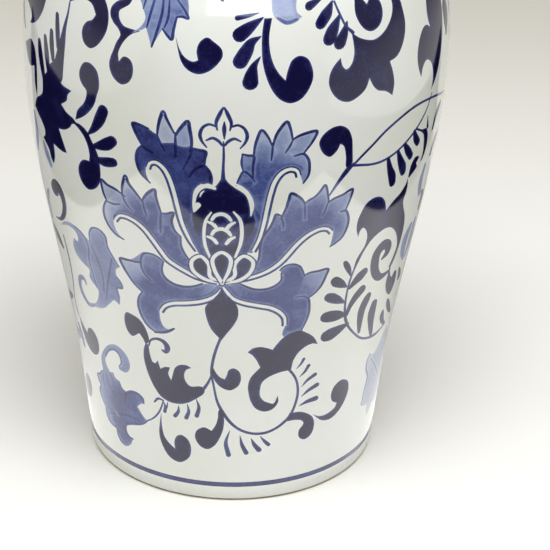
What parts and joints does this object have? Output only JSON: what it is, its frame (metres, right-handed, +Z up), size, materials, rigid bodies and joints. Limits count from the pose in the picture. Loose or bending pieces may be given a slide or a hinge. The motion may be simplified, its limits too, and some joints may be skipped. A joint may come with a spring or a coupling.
{
  "type": "ginger jar",
  "caption": "Tall porcelain ginger jar with a tapering body, a short neck and a domed lift-off lid with a bud knob, for holding dry goods or for display.",
  "frame": {"origin": "centre of the foot ring, on the surface that the jar stands on", "axes": "+Z up along the jar's axis; -Y towards the middle of the painted flower"},
  "size_m": [0.21, 0.21, 0.403],
  "materials": {
    "painted_porcelain": "white porcelain under clear gloss glaze, brush-painted in cobalt blue; bare clay on the foot ring",
    "painted_porcelain_lid": "the same white porcelain, glaze and cobalt painting on the lid",
    "cobalt_porcelain": "porcelain washed all over in cobalt blue under clear gloss glaze"
  },
  "bodies": {
    "jar": {"jar_body": "painted_porcelain"},
    "lid_body": {"lid": "painted_porcelain_lid", "lid_knob": "cobalt_porcelain"}
  },
  "joints": [
    {"name": "lid_lift", "type": "slide", "parent": "jar", "child": "lid_body", "axis": [0, 0, 1], "range_m": [0, 0.15]}
  ]
}
